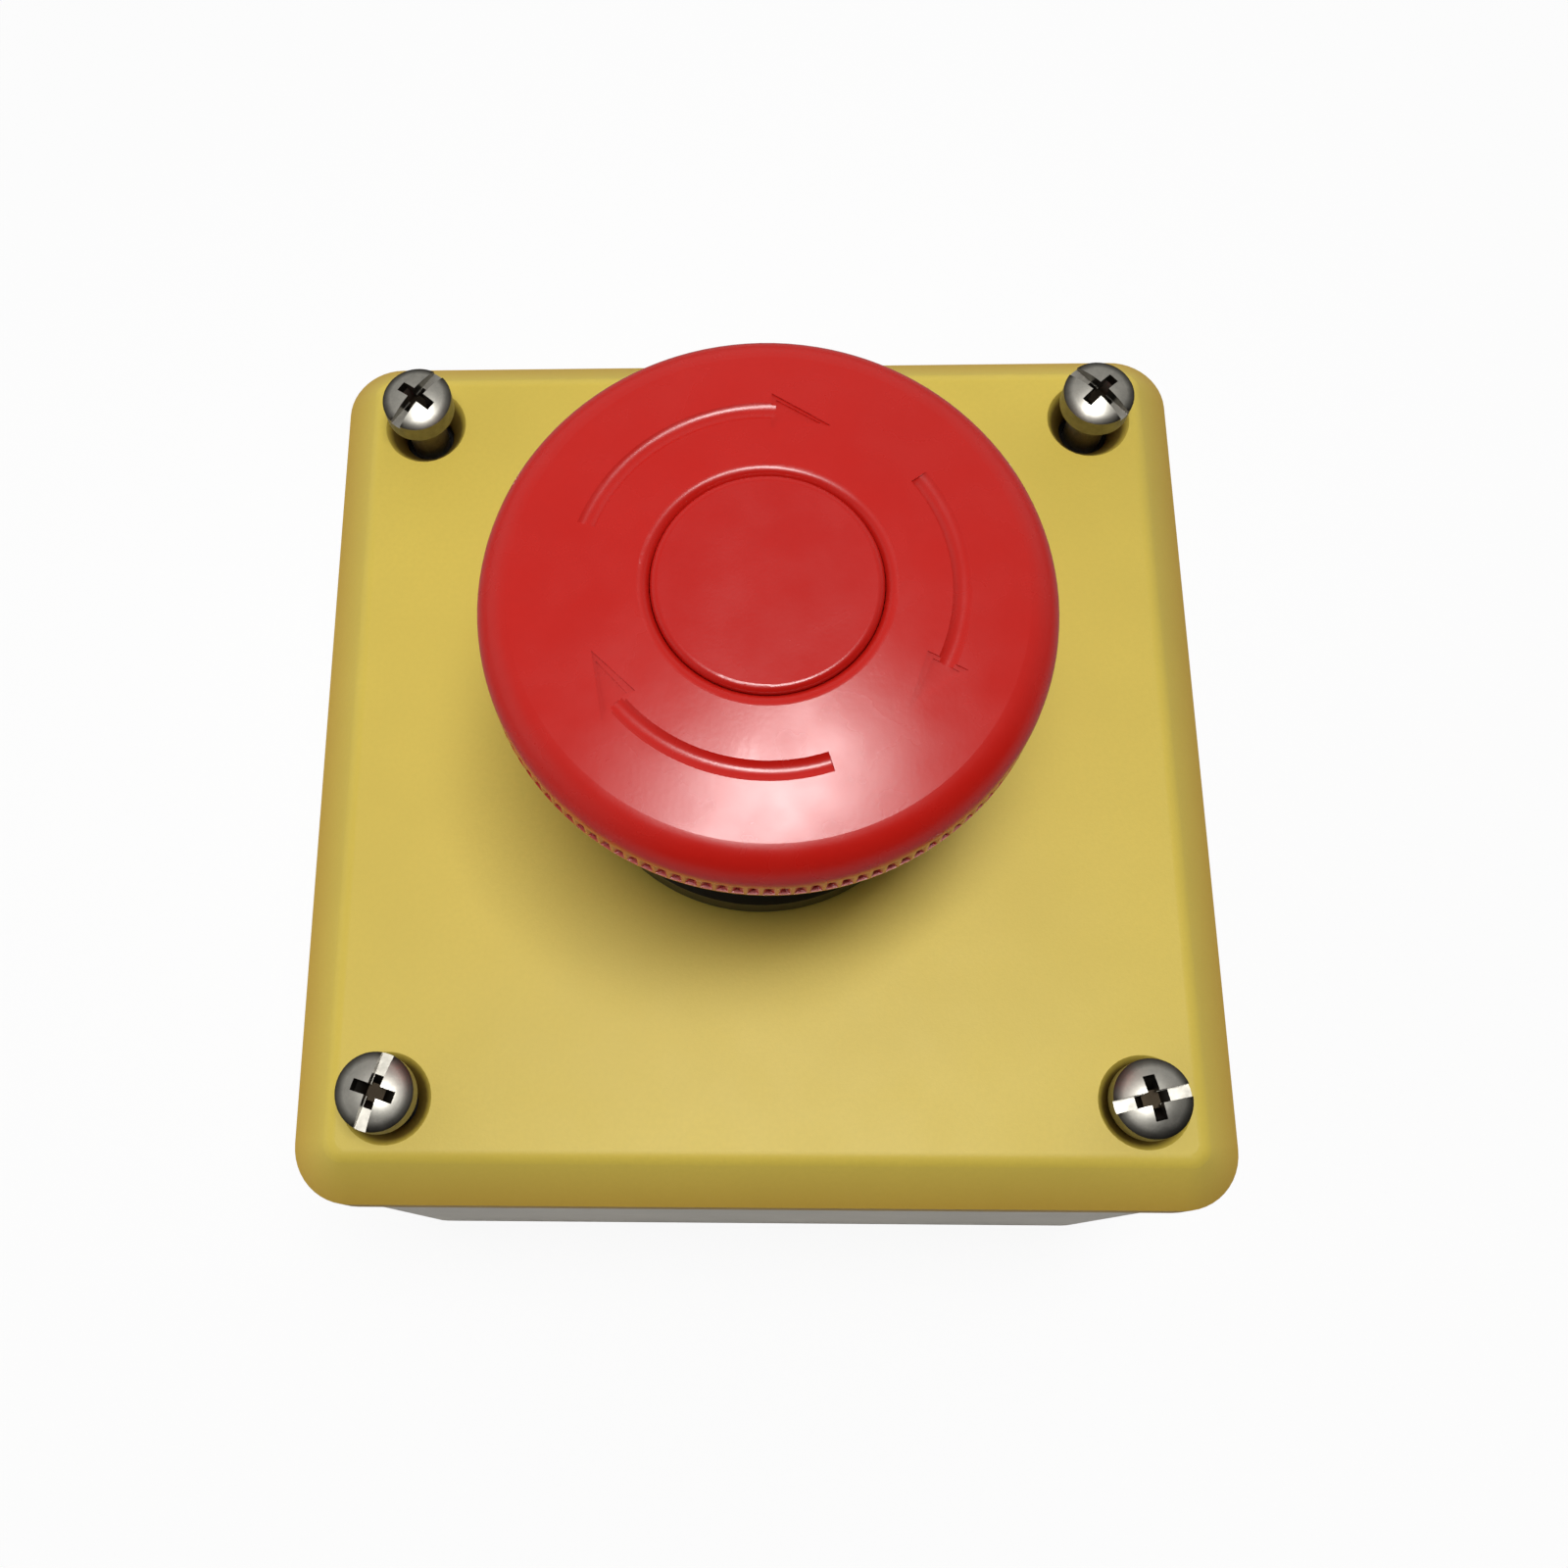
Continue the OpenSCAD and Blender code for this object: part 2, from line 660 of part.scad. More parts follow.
module bezel_ring() {
  foot_z = panel_z + slide_gap;
  outer = bezel_d / 2;
  bore = neck_r + slide_gap;
  seat_r = flange_r + slide_gap;
  color(black) rotate_extrude()
    polygon([[seat_r, foot_z], [outer - bezel_foot, foot_z], [outer, foot_z + bezel_foot],
             [outer, bezel_top - bezel_chamfer], [outer - bezel_chamfer, bezel_top],
             [bore, bezel_top], [bore, flange_top], [seat_r, flange_top]]);
}

module neck_seal() {
  color(rubber) translate([0, 0, skirt_z])
    ring(skirt_inner_r - slide_gap, neck_r - neck_groove, neck_seal_h);
}

module lock_nut() {
  flat_r = nut_af / 2;
  color(black) translate([0, 0, nut_z]) difference() {
    intersection() {
      cylinder(r = flat_r / cos(30), h = nut_h, $fn = 6);
      rotate_extrude()
        polygon([[0, 0], [flat_r - loose_gap, 0], [flat_r + nut_chamfer, nut_chamfer],
                 [2 * flat_r, nut_h], [0, nut_h]]);
    }
    translate([0, 0, -cut]) cylinder(r = collar_r + slip, h = nut_h + 2 * cut);
  }
}

// Holder clamped on the collar, with four hooked arms for the contact blocks
module contact_holder() {
  plate = collar_z - holder_z;
  arm_y = block_l / 2 + slide_gap;
  color(black) difference() {
    union() {
      translate([-holder_x / 2, -arm_y - arm_t, holder_z]) cube([holder_x, 2 * (arm_y + arm_t), plate]);
      translate([0, 0, holder_z]) cylinder(r = holder_ring_r, h = plate + holder_ring_h);
      for (x = [-1, 1])
        both_ways() translate([x * block_at - arm_w / 2, arm_y, holder_z - arm_h]) {
          cube([arm_w, arm_t, arm_h + cut]);
          translate([0, -hook_out - slide_gap, 0]) cube([arm_w, hook_out + slide_gap + cut, hook_h]);
        }
    }
    translate([0, 0, collar_z]) cylinder(r = collar_r + slide_gap, h = holder_ring_h + cut);
    translate([0, 0, holder_z - cut]) cylinder(r = pusher_room_r, h = plate + 2 * cut);
    both_ways() translate([0, 0, holder_screw_z]) rotate([90, 0, 0])
      cylinder(r = holder_screw_r + slip, h = holder_ring_r + cut);
  }
}

module holder_screws() {
  color(steel) both_ways() translate([0, -holder_ring_r, holder_screw_z]) rotate([90, 0, 0])
    small_screw(holder_ring_r - collar_r - slip, small_head_r, holder_screw_head_h);
}

module return_spring() {
  color(steel) coil((spindle_d / 2 + spring_room_r) / 2, return_wire, guide_top, spring_plate_z, 7);
}

// Spindle: foot that pushes the plungers, latch cone, spring plate with two slots, and stub for the head
module spindle_section() {
  shaft = spindle_d / 2;
  thin = shaft - latch_slope * (cone_end - cone_start);
  stub_top = web_z - hub_gap;
  polygon([[0, pusher_z], [pusher_r, pusher_z], [pusher_r, pusher_z + pusher_t],
           [shaft, pusher_z + pusher_t], [shaft, cone_start], [thin, cone_end], [shaft, cone_lip],
           [shaft, spring_plate_z], [spring_plate_r, spring_plate_z], [spring_plate_r, plate_top],
           [stub_r, plate_top], [stub_r, stub_top], [0, stub_top]]);
}

module spindle() {
  from = -lug_angle / 2 - slot_side - twist_angle;
  color(white) difference() {
    rotate_extrude() spindle_section();
    both_ways() rotate([0, 0, from]) rotate_extrude(angle = lug_angle / 2 + slot_side - from)
      translate([lug_r - lug_t / 2 - slide_gap, plate_top - lug_depth - fit_gap])
        square([lug_t + 2 * slide_gap, lug_depth + fit_gap + cut]);
    translate([0, 0, web_z - head_screw_len - cut])
      cylinder(r = holder_screw_r + slip, h = head_screw_len + 2 * cut);
  }
}

module cap_screw() {
  color(steel) translate([0, 0, web_z + web_t + slip])
    small_screw(head_screw_len + web_t, head_screw_r, head_screw_h);
}

module twist_spring() {
  color(steel) coil((hub_r + lug_r - lug_t / 2) / 2, twist_wire, plate_top, roof_z - loose_gap, 4);
}

// Half section of the crown, from the lip round the plug to the underside of its rim
module crown_section() {
  intersection() {
    translate([0, crown_z]) circle(crown_r, $fn = crown_fine);
    translate([lip_edge_r, crown_edge_z]) square([crown_edge_r - lip_edge_r, crown_room]);
  }
  polygon([[0, crown_edge_z], [lip_edge_r, crown_edge_z], [lip_edge_r, lip_edge_z],
           [lip_r, lip_z], [0, lip_z]]);
  intersection() {
    translate([lip_r, lip_z]) circle(lip_round_r);
    translate([0, lip_z]) square([crown_edge_r, crown_room]);
  }
  polygon([[0, rim_z], [rim_r - rim_chamfer, rim_z], [rim_r, rim_z + rim_chamfer], [rim_r, rim_top],
           [rim_centre_r, rim_top], [crown_edge_r, crown_edge_z], [0, crown_edge_z]]);
  intersection() {
    translate([rim_centre_r, rim_top]) circle(rim_round_r);
    translate([0, rim_top]) square([head_d, crown_room]);
  }
}

// Half section of the neck that sweeps out under the rim
module stem_section() {
  neck_out = neck_skirt_d / 2;
  flare_z = rim_z - flare_under_rim - flare_r;
  difference() {
    translate([0, skirt_z]) square([flare_out_r, rim_z - skirt_z]);
    translate([neck_out + flare_r, flare_z]) circle(flare_r);
    translate([neck_out, skirt_z - cut]) square([head_d, flare_z - skirt_z + cut]);
  }
}

// Flutes of the knurl: a band round the rim less a star with as many points as there are teeth.
// The star's points stand out of the rim a little, so narrow lands stay between the flutes.
module knurl_flutes() {
  low = rim_z + rim_flange_h;
  high = rim_top - knurl_under_round;
  out_r = rim_r + cut;
  in_r = tooth_root_r - cut;
  difference() {
    rotate_extrude($fn = fine)
      polygon([[in_r, low], [out_r, low - knurl_slant], [out_r, high], [in_r, high - knurl_slant]]);
    translate([0, 0, rim_z]) linear_extrude(rim_h)
      polygon([for (i = [0 : 2 * teeth - 1])
        turned(i % 2 == 0 ? tooth_root_r : tooth_tip_r, 180 * i / teeth)]);
  }
}

// Head of an arrow seen from above, clockwise from its neck; inset draws its outline in on all sides
module arrow_head(neck, inset) {
  turn_in = inset * 180 / (PI * arrow_r);
  half = arrow_head_w / 2 - arrow_side_in * inset;
  tip = neck - arrow_head_span + arrow_point_in * turn_in;
  polygon([turned(arrow_r + half, neck - turn_in), turned(arrow_r - arrow_tip_in, tip),
           turned(arrow_r - half, neck - turn_in)]);
}

// Round-bottomed bar of an arrow: a ring segment whose centre line runs over the crown
module arrow_bar(from, to) {
  lean = asin(arrow_r / crown_r);
  rotate([0, 0, from]) rotate_extrude(angle = to - from)
    translate([arrow_groove_at * sin(lean), crown_z + arrow_groove_at * cos(lean)]) circle(arrow_groove_r);
}

// The arrows' heads are sunk in two steps that follow the crown
module arrow_cuts() {
  for (i = [0 : 2]) {
    neck = arrow_tail[i] - arrow_span[i];
    arrow_bar(neck - arrow_into_head, arrow_tail[i]);
    for (step = [0, 1])
      difference() {
        translate([0, 0, rim_top]) linear_extrude(crown_room) arrow_head(neck, step * arrow_step_in);
        translate([0, 0, crown_z]) sphere(crown_r - arrow_head_steps[step], $fn = crown_fine);
      }
  }
}

// Hollow under the head: room for the neck and the springs, round the hub and the two driving lugs
module head_hollow() {
  difference() {
    translate([0, 0, skirt_z - cut]) cylinder(r = skirt_inner_r, h = roof_z - skirt_z + cut);
    translate([0, 0, plate_top + hub_gap]) cylinder(r = hub_r, h = roof_z);
    both_ways() rotate([0, 0, -lug_angle / 2]) rotate_extrude(angle = lug_angle)
      translate([lug_r - lug_t / 2, plate_top - lug_depth]) square([lug_t, roof_z]);
  }
}

module mushroom_cap() {
  color(red) difference() {
    union() {
      rotate_extrude($fn = fine) crown_section();
      rotate_extrude($fn = fine) stem_section();
    }
    knurl_flutes();
    head_hollow();
    translate([0, 0, plate_top - cut]) cylinder(r = stub_r + slide_gap, h = web_z - plate_top + cut);
    translate([0, 0, web_z - cut]) cylinder(r = holder_screw_r + loose_gap, h = crown_room);
    translate([0, 0, web_z + web_t]) cylinder(r = pocket_r, h = crown_room);
    translate([0, 0, recess_z]) cylinder(r = recess_r, h = crown_room);
    arrow_cuts();
  }
}

module centre_plug() {
  plug_r = plug_d / 2;
  color(maroon) rotate_extrude() {
    translate([0, recess_z]) square([plug_r, plug_t - plug_round_r]);
    translate([0, recess_z]) square([plug_r - plug_round_r, plug_t]);
    translate([plug_r - plug_round_r, head_top - plug_round_r]) circle(plug_round_r);
    translate([spigot_r, recess_z - spigot_h]) square([pocket_r - slip - spigot_r, spigot_h + slip]);
  }
}

// Latch balls beside the spindle's cone, and the springs that press them inwards
module latch_ball(side) {
  color(steel) translate([side * latch_at, 0, latch_z]) sphere(latch_ball_r);
}

module latch_spring(side) {
  color(steel) translate([0, 0, latch_z]) rotate([0, side * 90, 0])
    small_coil(latch_ball_r - latch_wire, latch_wire, latch_at + latch_ball_r, collar_r + slip, 4);
}

module latch_ball_left() latch_ball(-1);
module latch_ball_right() latch_ball(1);
module latch_spring_left() latch_spring(-1);
module latch_spring_right() latch_spring(1);

// Contact blocks: the left one is normally closed, the right one normally open, its mirror image outside
module place_block(side) {
  translate([side * block_at, 0, 0]) mirror([side < 0 ? 1 : 0, 0, 0]) children();
}

module hook_notches(x0, w) {
  for (y = [-1, 1])
    translate([x0, y * block_l / 2 - hook_out - fit_gap, hook_notch_z])
      cube([w, 2 * (hook_out + fit_gap), hook_h + 2 * loose_gap]);
}

module block_housing() {
  hole_w = plunger_w + 2 * slide_gap;
  difference() {
    translate([-block_w / 2, -block_l / 2, block_bottom]) cube([block_w - block_wall, block_l, block_h]);
    translate([-room_x, -room_y, block_bottom + block_wall])
      cube([block_w, 2 * room_y, block_h - 2 * block_wall]);
    translate([0, 0, block_top]) cube([hole_w, hole_w, 4 * block_wall], center = true);
    for (y = [-1, 1]) {
      translate([0, y * terminal_y, block_bottom - cut])
        cylinder(r = terminal_head_r + fit_gap, h = block_wall + 2 * cut);
      translate([-entry_w / 2, y * block_l / 2 - 2 * block_wall, entry_z])
        cube([entry_w, 4 * block_wall, entry_h]);
    }
    hook_notches(-block_w, 2 * block_w);
  }
}

module block_cover() {
  difference() {
    translate([room_x, -block_l / 2, block_bottom]) cube([block_wall, block_l, block_h]);
    hook_notches(0, block_w);
  }
}

module block_plunger(slot) {
  difference() {
    translate([-plunger_w / 2, -plunger_w / 2, plunger_z])
      cube([plunger_w, plunger_w, plunger_top - plunger_z]);
    translate([-bridge_w / 2 - fit_gap, -plunger_w, slot[0]])
      cube([bridge_w + 2 * fit_gap, 2 * plunger_w, slot[1] - slot[0]]);
  }
}

// Moving bridge with a tip at each end, above it or below it
module bridge(tips_up) {
  tip_z = tips_up ? bridge_z + strip_t / 2 : bridge_z - tip_h;
  translate([-bridge_w / 2, -bridge_l / 2, bridge_z]) cube([bridge_w, bridge_l, strip_t]);
  for (y = [-1, 1]) translate([0, y * contact_y, tip_z]) cylinder(d = tip_d, h = tip_h + strip_t / 2);
}

// Fixed strips, bent from their contact tips out to the wall and down to their terminals
module strip_pair(level, tips_up) {
  tip_z = tips_up ? level + strip_t / 2 : level - tip_h;
  both_ways() {
    difference() {
      translate([-strip_w / 2, 0, 0]) rotate([90, 0, 90]) linear_extrude(strip_w)
        polygon([[strip_in_y, level], [strip_out_y - strip_t, level],
                 [strip_out_y - strip_t, terminal_z + strip_t], [terminal_in_y, terminal_z + strip_t],
                 [terminal_in_y, terminal_z], [strip_out_y, terminal_z],
                 [strip_out_y, level + strip_t], [strip_in_y, level + strip_t]]);
      translate([0, terminal_y, terminal_z - cut])
        cylinder(r = terminal_screw_r + slip, h = strip_t + 2 * cut);
    }
    translate([0, contact_y, tip_z]) cylinder(d = tip_d, h = tip_h + strip_t / 2);
  }
}

module terminal_screw_pair() {
  both_ways() translate([0, terminal_y, terminal_head_z]) difference() {
    union() {
      cylinder(r = terminal_head_r, h = terminal_head_h);
      cylinder(r = terminal_screw_r, h = terminal_screw_top - terminal_head_z);
    }
    translate([-terminal_head_r - cut, -driver_w / 2, -cut])
      cube([2 * (terminal_head_r + cut), driver_w, driver_depth + cut]);
    translate([-driver_w / 2, -terminal_screw_r, -cut])
      cube([driver_w, 2 * terminal_screw_r, driver_depth + cut]);
  }
}

module wire_clamp_pair() {
  both_ways() translate([0, terminal_y, terminal_head_z + terminal_head_h])
    linear_extrude(clamp_t) difference() {
      square(clamp_w, center = true);
      circle(terminal_screw_r + slide_gap);
    }
}

module contact_spring(slot, below) {
  z0 = below ? slot[0] : bridge_z + strip_t;
  z1 = below ? bridge_z : slot[1];
  small_coil(bridge_w / 2 - loose_gap, contact_wire, z0, z1, 5);
}

module plunger_spring() small_coil(plunger_w / 3, plunger_wire, block_bottom + block_wall, plunger_z, 6);

module nc_housing() color(maroon) place_block(-1) block_housing();
module nc_side_cover() color(maroon) place_block(-1) block_cover();
module nc_terminals() color(brass) place_block(-1) strip_pair(nc_strip_z, false);
module nc_terminal_screws() color(steel) place_block(-1) terminal_screw_pair();
module nc_wire_clamps() color(brass) place_block(-1) wire_clamp_pair();
module nc_plunger() color(maroon) place_block(-1) block_plunger(nc_slot);
module nc_bridge() color(brass) place_block(-1) bridge(true);
module nc_contact_spring() color(steel) place_block(-1) contact_spring(nc_slot, true);
module nc_plunger_spring() color(steel) place_block(-1) plunger_spring();

module no_housing() color(green) place_block(1) block_housing();
module no_side_cover() color(green) place_block(1) block_cover();
module no_terminals() color(brass) place_block(1) strip_pair(no_strip_z, true);
module no_terminal_screws() color(steel) place_block(1) terminal_screw_pair();
module no_wire_clamps() color(brass) place_block(1) wire_clamp_pair();
module no_plunger() color(green) place_block(1) block_plunger(no_slot);
module no_bridge() color(brass) place_block(1) bridge(false);
module no_contact_spring() color(steel) place_block(1) contact_spring(no_slot, false);
module no_plunger_spring() color(steel) place_block(1) plunger_spring();

base_box();
lid();
lid_seal();
screw_washers();
cover_screw_far_left();
cover_screw_far_right();
cover_screw_near_left();
cover_screw_near_right();
panel_seal();
operator_body();
bezel_ring();
neck_seal();
lock_nut();
contact_holder();
holder_screws();
return_spring();
spindle();
cap_screw();
twist_spring();
mushroom_cap();
centre_plug();
latch_ball_left();
latch_spring_left();
latch_ball_right();
latch_spring_right();
nc_housing();
nc_side_cover();
nc_terminals();
nc_terminal_screws();
nc_wire_clamps();
nc_plunger();
nc_bridge();
nc_contact_spring();
nc_plunger_spring();
no_housing();
no_side_cover();
no_terminals();
no_terminal_screws();
no_wire_clamps();
no_plunger();
no_bridge();
no_contact_spring();
no_plunger_spring();
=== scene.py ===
import json
import math

import bpy
from mathutils import Matrix, Vector


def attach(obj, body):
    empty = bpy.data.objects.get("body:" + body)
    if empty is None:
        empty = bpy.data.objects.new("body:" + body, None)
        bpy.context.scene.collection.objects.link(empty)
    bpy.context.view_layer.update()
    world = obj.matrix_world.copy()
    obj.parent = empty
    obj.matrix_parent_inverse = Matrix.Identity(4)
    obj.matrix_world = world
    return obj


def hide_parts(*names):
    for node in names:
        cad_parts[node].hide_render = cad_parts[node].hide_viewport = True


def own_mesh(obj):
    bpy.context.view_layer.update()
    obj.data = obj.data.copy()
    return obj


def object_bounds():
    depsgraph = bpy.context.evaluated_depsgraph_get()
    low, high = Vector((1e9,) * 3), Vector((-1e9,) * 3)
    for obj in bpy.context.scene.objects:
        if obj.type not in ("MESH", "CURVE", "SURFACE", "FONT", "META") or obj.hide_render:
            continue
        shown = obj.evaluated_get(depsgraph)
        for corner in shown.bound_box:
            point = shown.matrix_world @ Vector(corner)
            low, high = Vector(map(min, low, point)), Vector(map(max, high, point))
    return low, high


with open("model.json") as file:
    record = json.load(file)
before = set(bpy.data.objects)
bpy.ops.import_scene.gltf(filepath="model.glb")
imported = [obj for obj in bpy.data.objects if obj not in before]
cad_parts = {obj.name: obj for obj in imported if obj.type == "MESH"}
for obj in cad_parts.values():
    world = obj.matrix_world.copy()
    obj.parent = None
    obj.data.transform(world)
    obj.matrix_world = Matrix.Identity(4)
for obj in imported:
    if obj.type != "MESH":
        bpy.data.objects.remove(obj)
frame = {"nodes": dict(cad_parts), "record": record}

CAD_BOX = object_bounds()
MM = 0.001

# Camera: place over the floor, turn down, aside and about its own axis, and lens
CAMERA_AT = Vector((-2.91, -44.28, 198.55)) * MM
CAMERA_DOWN = math.radians(70.43)
CAMERA_ASIDE = math.radians(-6.58)
CAMERA_ROLL = math.radians(-6.44)
CAMERA_LENS = 39.46
CAMERA_SENSOR = 36.0
CAMERA_SHIFT = (0.0803, -0.0687)
CAMERA_CLIP = 5 * MM

# Lamp: place, aim, size across and along, and the brightness of its face
SOFTBOX_AT = Vector((14, -28, 540)) * MM
SOFTBOX_AIM = Vector((0, -10, 60)) * MM
SOFTBOX_SIZE = (195 * MM, 97 * MM)
SOFTBOX_BRIGHTNESS = 26.5

# Moulded plastic: widths of its colour clouds, surface waves and patches of gloss,
# and how wide and how strong its specks are
CLOUD_W = 14 * MM
WAVE_W = 9 * MM
PATCH_W = 4 * MM
SPECK_PER_GRAIN = 1.7
SPECK_SHARE = 0.35

# Rubber: its gloss; width, noise range, most share and tone of its pale bloom; and width
# and depth of its grain
RUBBER_ROUGHNESS = (0.62, 0.8)
RUBBER_SPECULAR = 0.35
BLOOM_W = 3 * MM
BLOOM_RANGE = (0.5, 0.8)
BLOOM_SHARE = 0.6
BLOOM_TONE = 2.2
RUBBER_GRAIN_W = 0.18 * MM
RUBBER_GRAIN_DEPTH = 0.01 * MM

# Metal: width and noise range of its stains, depth and strength of its fine lines, and
# how far both change its roughness
STAIN_W = 1.6 * MM
STAIN_RANGE = (0.35, 0.75)
STAIN_ROUGHNESS = (-0.05, 0.07)
LINE_DEPTH = 0.004 * MM
LINE_STRENGTH = 0.6
LINE_ROUGHNESS = 0.05

# Cover screws: width, noise range and tone of stains; width of lines; roughness over the
# stains, and how far the lines change it
HEAD_STAIN_W = 0.9 * MM
HEAD_STAIN_RANGE = (0.4, 0.7)
HEAD_STAIN_TONE = 0.75
HEAD_LINE_W = 0.12 * MM
HEAD_ROUGHNESS = (0.34, 0.44)
HEAD_LINE_ROUGHNESS = (-0.02, 0.03)

# Cover screws: height of the head; depths under its top, and steepness of its shoulder,
# # between which painted shade darkens the plating; tones of that painted shade on shoulder and
# sides
HEAD_H = 2.9 * MM
HEAD_BLUR = 0.1 * MM
RECESS_DARK = 1.6 * MM
RECESS_LIGHT = 0.95 * MM
SHOULDER_DARK = 0.865
SHOULDER_LIGHT = 0.915
SHOULDER_TONE = 0.12
SIDE_TONE = 0.25
SIDE_END = 0.2
PLATING_LIGHT = (220, 216, 204)
PLATING_PAINTED_SHADE = (44, 38, 30)

# Lid: height of its top; depth, strength and colour of the painted shade down its slanted edges;
# and place,
# # radius, strength and colour of the painted shade in its screw holes, with the depths between
# which it begins
LID_TOP = 57 * MM
EDGE_H = 4.5 * MM
EDGE_PAINTED_SHADE = 0.6
EDGE_SHADE_BROWN = (176, 122, 26)
SCREW_AT = 30.4 * MM
HOLE_R = 3.75 * MM
HOLE_BLUR = 0.1 * MM
HOLE_PAINTED_SHADE = 0.8
HOLE_SHADE_BROWN = (70, 46, 14)
HOLE_UNSHADED_TO = 0.1 * MM
HOLE_SHADED_FROM = 0.9 * MM

# Springs that the button's travel shortens
SPRINGS = ("return_spring", "nc_plunger_spring", "no_plunger_spring")

# Studio: pale walls round the horizon under a darker ceiling, with the heights between
# which one turns into the other. Reflections see both as one grey. Everything but the
# background behind the object fades to black towards the near right.
HORIZON = 1.4
CEILING = 0.1
HORIZON_TOP = 0.4
CEILING_START = 0.75
MIRRORED = 0.28
PALE_SIDE = (-0.4, 0.9, 0.0)
DARK_FROM = -0.6
DARK_TO = 0.15
WHITE = (1, 1, 1, 1)

# Floor: depth under the object, half its width, its grey, and how much shadow it shows
FLOOR_DROP = 0.2 * MM
FLOOR_HALF = 4.0
FLOOR_GREY = (0.95, 0.95, 0.95, 1)
FLOOR_SHADE = 0.1


def rgb(red, green, blue):
    """A colour given as it shows on screen, from 0 to 255, as linear values with alpha."""
    parts = [c / 255 for c in (red, green, blue)]
    return tuple(c / 12.92 if c < 0.04045 else ((c + 0.055) / 1.055) ** 2.4
                 for c in parts) + (1.0,)


def scaled(colour, factor):
    """The colour made lighter or darker."""
    return tuple(min(1.0, c * factor) for c in colour[:3]) + (1.0,)


def fill(tree, node, sockets):
    """Gives each of the node's sockets a plain value or another node's output."""
    for name, value in sockets.items():
        if isinstance(value, bpy.types.NodeSocket):
            tree.links.new(value, node.inputs[name])
        else:
            node.inputs[name].default_value = value


def put(tree, kind, sockets=None, **settings):
    """Adds a node with its settings and sockets."""
    node = tree.nodes.new(kind)
    for name, value in settings.items():
        setattr(node, name, value)
    fill(tree, node, sockets or {})
    return node


def math_node(tree, operation, first, second=0.0):
    """The result of a sum, product or other operation."""
    return put(tree, "ShaderNodeMath", {0: first, 1: second}, operation=operation).outputs[0]


def part_of(tree, vector, axis):
    """The vector's X, Y or Z."""
    return put(tree, "ShaderNodeSeparateXYZ", {"Vector": vector}).outputs[axis]


def noise(tree, place, size, detail=2.0, rough=0.5):
    """Noise from 0 to 1 whose features are about size metres wide."""
    node = put(tree, "ShaderNodeTexNoise",
               {"Vector": place, "Scale": 1 / size, "Detail": detail, "Roughness": rough})
    return node.outputs["Fac"]


def spread(tree, value, low, high, start=0.3, end=0.7):
    """Maps a value between start and end to low and high."""
    node = put(tree, "ShaderNodeMapRange",
               {"Value": value, "From Min": start, "From Max": end,
                "To Min": low, "To Max": high})
    return node.outputs["Result"]


def blend_numbers(tree, share, first, second):
    """The first number where the share is 0, and the second where it is 1."""
    return put(tree, "ShaderNodeMix", {0: share, 2: first, 3: second}).outputs[0]


def blend_colours(tree, share, first, second):
    """The same for colours, which have sockets of their own on the mix node."""
    node = put(tree, "ShaderNodeMix", {0: share, 6: first, 7: second}, data_type="RGBA")
    return node.outputs[2]


def bump(tree, height, depth, strength=1.0, under=None):
    """Bump of a height from 0 to 1 that is depth metres deep."""
    sockets = {"Height": height, "Distance": depth, "Strength": strength}
    if under is not None:
        sockets["Normal"] = under
    return put(tree, "ShaderNodeBump", sockets).outputs["Normal"]


def empty_tree(holder):
    """The node tree of a material or world, cleared."""
    holder.use_nodes = True
    holder.node_tree.nodes.clear()
    return holder.node_tree


def object_place(tree):
    """The point of the surface, in the object's own frame."""
    return put(tree, "ShaderNodeTexCoord").outputs["Object"]


def new_material(name):
    """A material with its node tree, its shader and its place socket."""
    material = bpy.data.materials.new(name)
    tree = empty_tree(material)
    shader = put(tree, "ShaderNodeBsdfPrincipled")
    put(tree, "ShaderNodeOutputMaterial", {"Surface": shader.outputs[0]})
    return material, tree, shader, object_place(tree)


def moulded(name, colour, roughness=0.4, grain=0.25 * MM, depth=0.012 * MM, mottle=0.05,
            specular=0.5, swell=2.0, patchy=0.04):
    """Moulded plastic: fine eroded grain, faint clouds in the colour and a slightly uneven
    gloss. Its waves are swell times as deep as its grain."""
    material, tree, shader, place = new_material(name)
    clouds = noise(tree, place, CLOUD_W, detail=3.0)
    specks = noise(tree, place, grain * SPECK_PER_GRAIN)
    tone = blend_colours(tree, spread(tree, clouds, 0.0, 1.0),
                         scaled(colour, 1 - mottle), scaled(colour, 1 + mottle))
    tone = blend_colours(tree, spread(tree, specks, 0.0, SPECK_SHARE),
                         tone, scaled(colour, 1 - 2 * mottle))
    pits = noise(tree, place, grain, detail=3.0, rough=0.6)
    waves = noise(tree, place, WAVE_W, detail=1.0)
    patches = noise(tree, place, PATCH_W, detail=4.0)
    fill(tree, shader, {
        "Base Color": tone,
        "Specular IOR Level": specular,
        "Roughness": spread(tree, patches, roughness - patchy, roughness + patchy),
        "Normal": bump(tree, pits, depth, under=bump(tree, waves, depth * swell)),
    })
    return material


def rubber(name, colour):
    """Soft rubber: matte, with a fine grain and pale bloom in patches."""
    material, tree, shader, place = new_material(name)
    bloom = noise(tree, place, BLOOM_W, detail=5.0, rough=0.65)
    share = spread(tree, bloom, 0.0, BLOOM_SHARE, *BLOOM_RANGE)
    grain = noise(tree, place, RUBBER_GRAIN_W)
    fill(tree, shader, {
        "Base Color": blend_colours(tree, share, colour, scaled(colour, BLOOM_TONE)),
        "Specular IOR Level": RUBBER_SPECULAR,
        "Roughness": spread(tree, bloom, *RUBBER_ROUGHNESS),
        "Normal": bump(tree, grain, RUBBER_GRAIN_DEPTH),
    })
    return material


